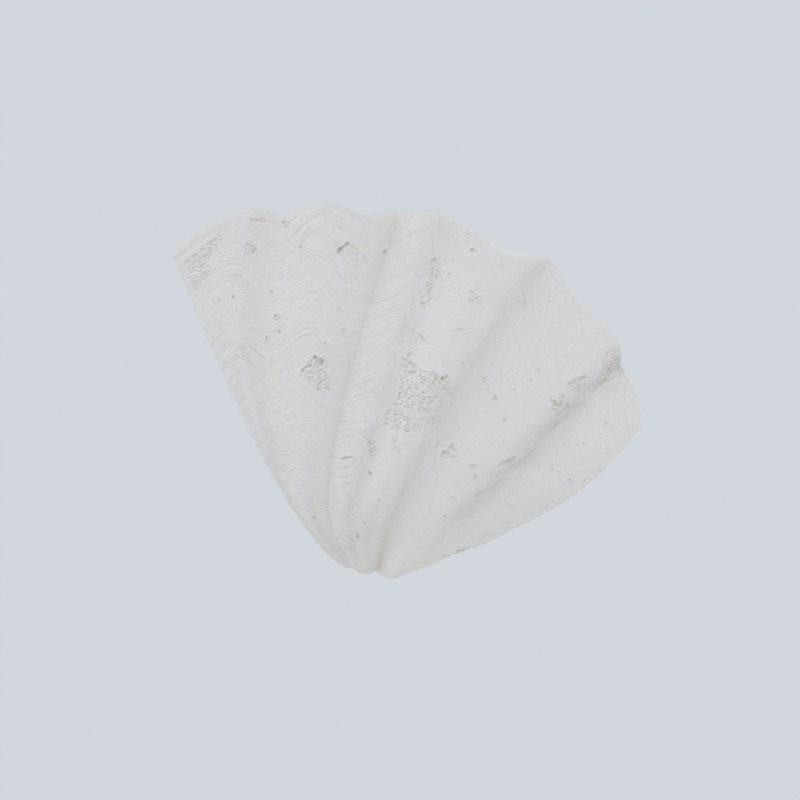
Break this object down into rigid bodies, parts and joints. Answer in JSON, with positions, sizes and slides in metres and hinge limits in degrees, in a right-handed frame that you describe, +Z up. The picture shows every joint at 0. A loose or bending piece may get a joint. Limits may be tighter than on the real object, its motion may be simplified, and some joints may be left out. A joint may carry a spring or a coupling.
{
  "type": "shell corner applique",
  "caption": "Cast plaster half shell with fanning ribs and a wavy rim, hollow and open at the top, that fits into the inside corner of a room as a wall ornament.",
  "frame": {"origin": "the lower end of the arris that fits into the inside corner, on the line where the two walls meet", "axes": "+Z up; the left wall is the plane X = 0 and the part's back there faces -X; the right wall is the plane Y = 0 and the part's back there faces +Y"},
  "size_m": [0.3237, 0.3101, 0.3484],
  "materials": {
    "plaster": "matte off-white cast plaster with pits, growth lines and chipped patches"
  },
  "bodies": {
    "root": {"plaster_shell": "plaster"}
  },
  "joints": []
}
